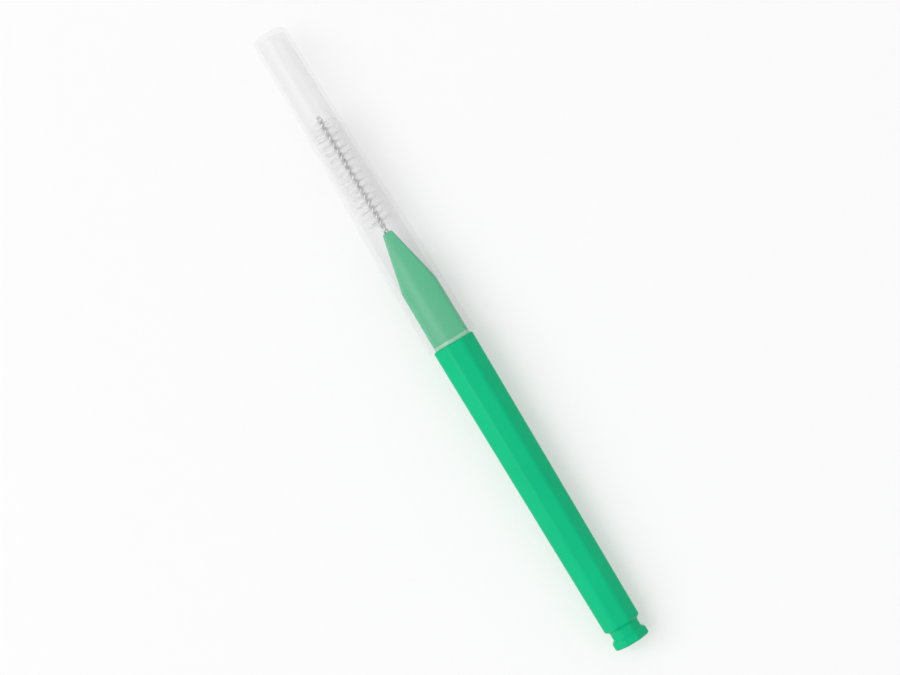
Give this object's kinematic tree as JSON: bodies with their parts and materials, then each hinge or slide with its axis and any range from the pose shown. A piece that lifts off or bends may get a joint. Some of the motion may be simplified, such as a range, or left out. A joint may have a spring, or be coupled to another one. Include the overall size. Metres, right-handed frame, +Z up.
{
  "type": "interdental brush",
  "caption": "Slim interdental brush with an eight-sided tapering grip, a flat wedge nose, a twisted wire head of nylon filaments and a frosted cap that pulls off it.",
  "frame": {"origin": "middle of the capped brush's length, on the surface below the cap's lip", "axes": "+X along the brush towards the cap's closed tip, +Z up, square to the flats of the nose"},
  "size_m": [0.0748, 0.0058, 0.0058],
  "materials": {
    "handle_plastic": "glossy moulded green plastic",
    "wire_steel": "bright drawn stainless wire",
    "filament_nylon": "white nylon filament",
    "cap_plastic": "frosted, see-through moulded plastic"
  },
  "bodies": {
    "brush": {"handle": "handle_plastic", "wire": "wire_steel", "bristle_fan_01": "filament_nylon", "bristle_fan_02": "filament_nylon", "bristle_fan_03": "filament_nylon", "bristle_fan_04": "filament_nylon", "bristle_fan_05": "filament_nylon", "bristle_fan_06": "filament_nylon", "bristle_fan_07": "filament_nylon", "bristle_fan_08": "filament_nylon", "bristle_fan_09": "filament_nylon", "bristle_fan_10": "filament_nylon", "bristle_fan_11": "filament_nylon", "bristle_fan_12": "filament_nylon", "bristle_fan_13": "filament_nylon", "bristle_fan_14": "filament_nylon", "bristle_fan_15": "filament_nylon", "bristle_fan_16": "filament_nylon"},
    "cap": {"cap": "cap_plastic"}
  },
  "joints": [
    {"name": "cap_slide", "type": "slide", "parent": "brush", "child": "cap", "axis": [1, 0, 0], "range_m": [0, 0.033]}
  ]
}
